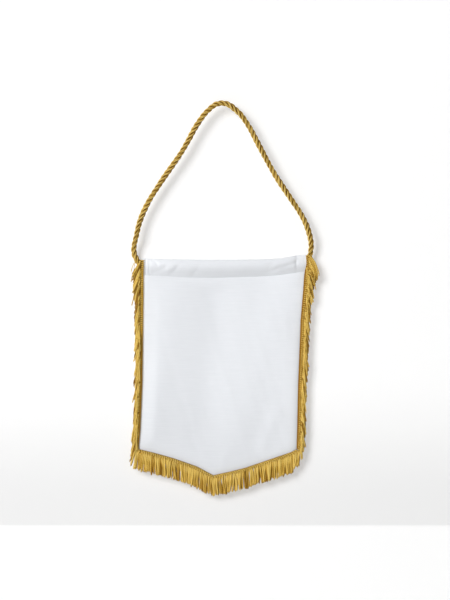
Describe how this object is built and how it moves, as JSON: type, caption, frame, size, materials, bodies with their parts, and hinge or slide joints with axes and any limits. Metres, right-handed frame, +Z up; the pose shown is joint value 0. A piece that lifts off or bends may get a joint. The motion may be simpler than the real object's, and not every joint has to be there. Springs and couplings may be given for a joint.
{
  "type": "fringed sports pennant",
  "caption": "Pointed white cloth pennant with a rod sleeve along its top, gold fringe down its sides and foot, and a twisted gold hanging cord.",
  "frame": {"origin": "the hang point: the underside of the hanging cord at its peak", "axes": "+Z up, the front of the cloth faces -Y, +X to the right as seen from the front"},
  "size_m": [0.2428, 0.0117, 0.5002],
  "materials": {
    "cloth": "white woven polyester with a soft satin sheen",
    "fringe": "lustrous gold rayon yarn",
    "cord": "lustrous gold rayon, three strands laid up"
  },
  "bodies": {
    "root": {"cloth": "cloth", "fringe_left": "fringe", "fringe_bottom_left": "fringe", "fringe_bottom_right": "fringe", "fringe_right": "fringe", "cord": "cord"}
  },
  "joints": []
}
